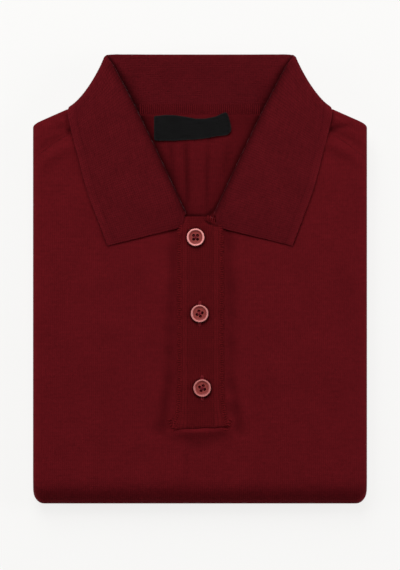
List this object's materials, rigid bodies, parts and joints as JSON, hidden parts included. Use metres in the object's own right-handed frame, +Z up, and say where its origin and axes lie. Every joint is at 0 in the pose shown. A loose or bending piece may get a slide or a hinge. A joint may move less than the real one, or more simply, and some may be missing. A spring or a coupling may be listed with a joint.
{
  "type": "folded polo sweater",
  "caption": "Fine knit polo sweater with a ribbed collar and a buttoned placket, folded flat with its sides, sleeves and lower half behind.",
  "frame": {"origin": "on the surface that the folded garment rests on, under the middle of its width and of its length from bottom fold to collar roll", "axes": "+X to the right of the face as it is seen from above, +Y from the bottom fold to the collar, +Z up out of the face"},
  "size_m": [0.28, 0.3766, 0.0269],
  "materials": {
    "body_knit": "fine plain knit, matt",
    "back_knit": "fine plain knit, matt, inner face",
    "folded_knit": "folded layers of fine knit, matt",
    "collar_rib": "fine tight rib, matt",
    "placket_rib": "fine rib with linked seams",
    "placket_under_rib": "fine rib",
    "label_satin": "black woven satin, bare",
    "button": "clouded red resin, rim lighter"
  },
  "bodies": {
    "root": {"front": "body_knit", "back": "back_knit", "folded_layers": "folded_knit", "collar": "collar_rib", "placket": "placket_rib", "placket_under": "placket_under_rib", "label": "label_satin", "button_top": "button", "button_middle": "button", "button_bottom": "button"}
  },
  "joints": []
}
